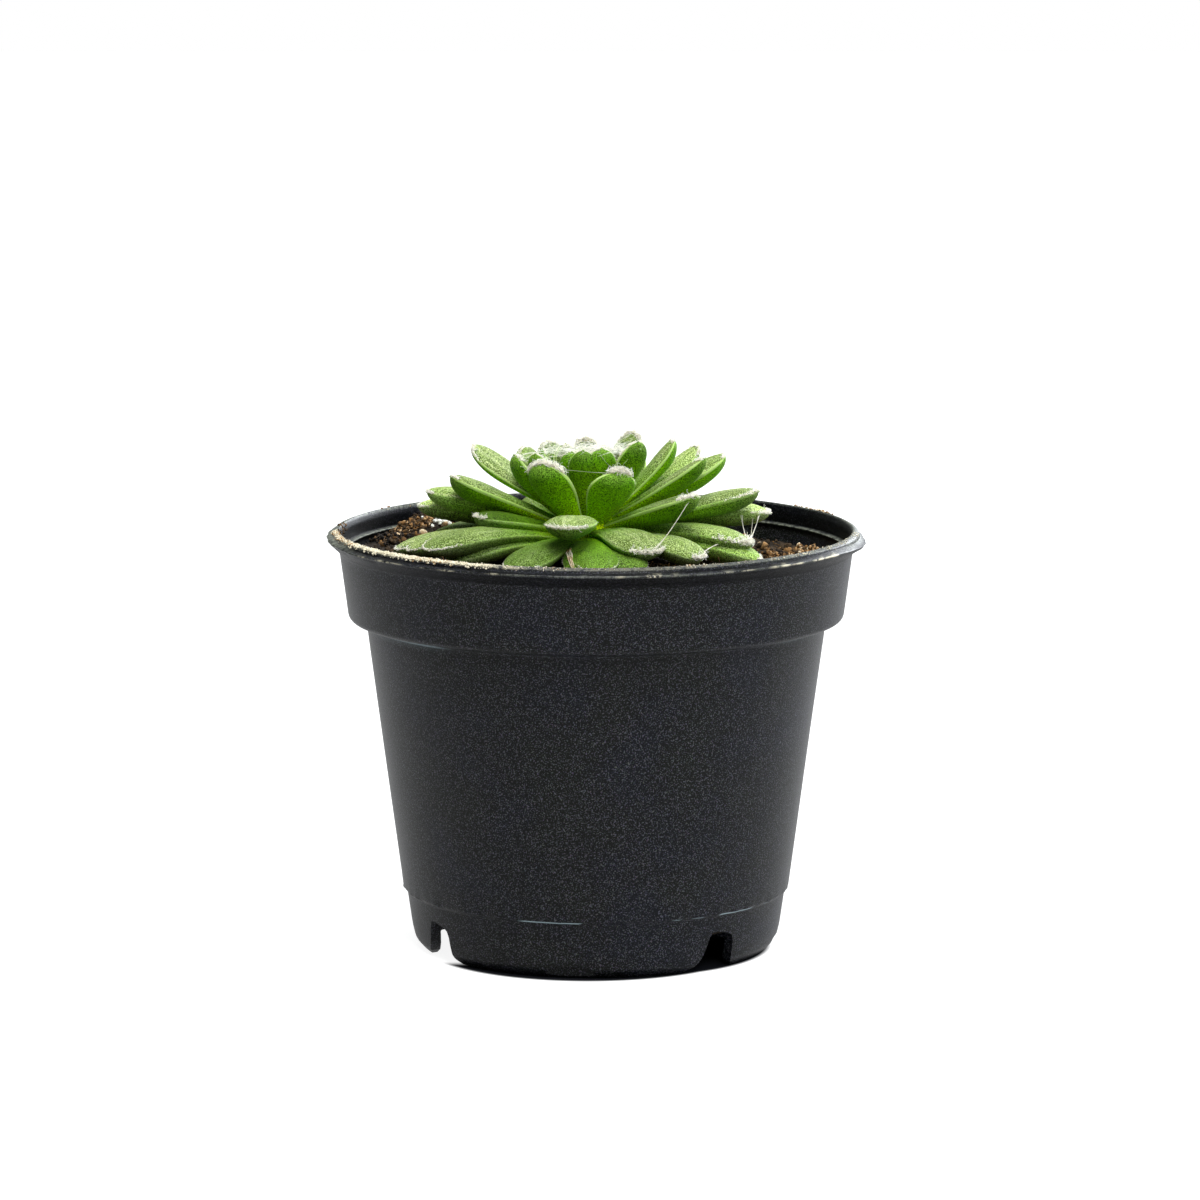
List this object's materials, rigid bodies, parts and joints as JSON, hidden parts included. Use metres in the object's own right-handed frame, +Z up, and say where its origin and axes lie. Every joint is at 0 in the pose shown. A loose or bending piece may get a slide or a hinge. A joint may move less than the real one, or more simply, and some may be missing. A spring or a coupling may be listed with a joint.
{
  "type": "potted hens and chicks succulent",
  "caption": "Low rosette of thick spoon-shaped leaves rooted in potting soil in a round tapered nursery pot with a stepped collar, flared lip and notched foot.",
  "frame": {"origin": "centre of the pot's foot, on the surface that it stands on", "axes": "+Z up along the pot's axis, -Y the front, +X to the viewer's right"},
  "size_m": [0.105, 0.105, 0.0994],
  "materials": {
    "pot_plastic": "satin",
    "peat_soil": "matte",
    "root_bark": "matte",
    "leaf_green": "satin"
  },
  "bodies": {
    "root": {"pot": "pot_plastic", "potting_soil": "peat_soil", "roots": "root_bark", "rosette": "leaf_green"}
  },
  "joints": []
}
